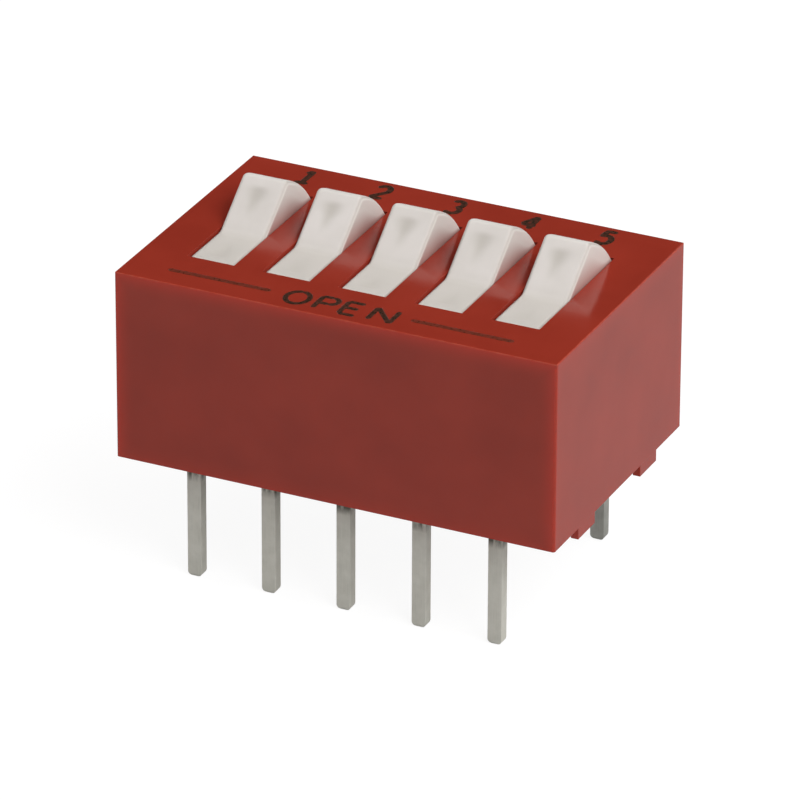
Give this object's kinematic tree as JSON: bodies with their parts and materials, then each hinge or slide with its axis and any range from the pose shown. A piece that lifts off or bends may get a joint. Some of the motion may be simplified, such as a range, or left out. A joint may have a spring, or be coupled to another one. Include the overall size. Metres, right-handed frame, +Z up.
{
  "type": "dip switch",
  "caption": "Through-hole switch bank: raised rockers side by side in a moulded box housing, each with a spring-loaded contact ball, over rows of flat pins.",
  "frame": {"origin": "midway between the two rows of pins, level with the pin tips", "axes": "+X along the row of rockers from position one to the last, -Y towards the OPEN side, +Z up out of the circuit board"},
  "size_m": [0.0148, 0.0094, 0.0115],
  "materials": {
    "housing_red": "glossy moulded thermoplastic, red-brown",
    "rocker_white": "satin moulded plastic, warm white",
    "base_black": "matte moulded plastic, black",
    "seal_epoxy": "cast epoxy, dark brown",
    "spring_steel": "drawn spring wire",
    "ball_gold": "gold-plated brass, polished",
    "terminal_tin": null
  },
  "bodies": {
    "case": {"housing": "housing_red", "base": "base_black", "base_seal": "seal_epoxy", "terminal_front_1": "terminal_tin", "terminal_front_2": "terminal_tin", "terminal_front_3": "terminal_tin", "terminal_front_4": "terminal_tin", "terminal_front_5": "terminal_tin", "terminal_rear_1": "terminal_tin", "terminal_rear_2": "terminal_tin", "terminal_rear_3": "terminal_tin", "terminal_rear_4": "terminal_tin", "terminal_rear_5": "terminal_tin"},
    "lever_1": {"rocker_1": "rocker_white", "spring_1": "spring_steel"},
    "lever_2": {"rocker_2": "rocker_white", "spring_2": "spring_steel"},
    "lever_3": {"rocker_3": "rocker_white", "spring_3": "spring_steel"},
    "lever_4": {"rocker_4": "rocker_white", "spring_4": "spring_steel"},
    "lever_5": {"rocker_5": "rocker_white", "spring_5": "spring_steel"},
    "contact_1": {"ball_1": "ball_gold"},
    "contact_2": {"ball_2": "ball_gold"},
    "contact_3": {"ball_3": "ball_gold"},
    "contact_4": {"ball_4": "ball_gold"},
    "contact_5": {"ball_5": "ball_gold"}
  },
  "joints": [
    {"name": "rock_1", "type": "hinge", "parent": "case", "child": "lever_1", "pos_m": [-0.00508, 0, 0.00845], "axis": [-1, 0, 0], "range_deg": [0, 38], "deforming": ["spring_1"]},
    {"name": "rock_2", "type": "hinge", "parent": "case", "child": "lever_2", "pos_m": [-0.00254, 0, 0.00845], "axis": [-1, 0, 0], "range_deg": [0, 38], "deforming": ["spring_2"]},
    {"name": "rock_3", "type": "hinge", "parent": "case", "child": "lever_3", "pos_m": [0, 0, 0.00845], "axis": [-1, 0, 0], "range_deg": [0, 38], "deforming": ["spring_3"]},
    {"name": "rock_4", "type": "hinge", "parent": "case", "child": "lever_4", "pos_m": [0.00254, 0, 0.00845], "axis": [-1, 0, 0], "range_deg": [0, 38], "deforming": ["spring_4"]},
    {"name": "rock_5", "type": "hinge", "parent": "case", "child": "lever_5", "pos_m": [0.00508, 0, 0.00845], "axis": [-1, 0, 0], "range_deg": [0, 38], "deforming": ["spring_5"]},
    {"name": "ball_travel_1", "type": "slide", "parent": "case", "child": "contact_1", "axis": [0, -1, 0], "range_m": [0, 0.00138]},
    {"name": "ball_travel_2", "type": "slide", "parent": "case", "child": "contact_2", "axis": [0, -1, 0], "range_m": [0, 0.00138]},
    {"name": "ball_travel_3", "type": "slide", "parent": "case", "child": "contact_3", "axis": [0, -1, 0], "range_m": [0, 0.00138]},
    {"name": "ball_travel_4", "type": "slide", "parent": "case", "child": "contact_4", "axis": [0, -1, 0], "range_m": [0, 0.00138]},
    {"name": "ball_travel_5", "type": "slide", "parent": "case", "child": "contact_5", "axis": [0, -1, 0], "range_m": [0, 0.00138]}
  ],
  "couplings": [
    {"joint": "rock_1", "follows": "ball_travel_1", "rad_per_m": 481.54},
    {"joint": "rock_2", "follows": "ball_travel_2", "rad_per_m": 481.54},
    {"joint": "rock_3", "follows": "ball_travel_3", "rad_per_m": 481.54},
    {"joint": "rock_4", "follows": "ball_travel_4", "rad_per_m": 481.54},
    {"joint": "rock_5", "follows": "ball_travel_5", "rad_per_m": 481.54}
  ]
}
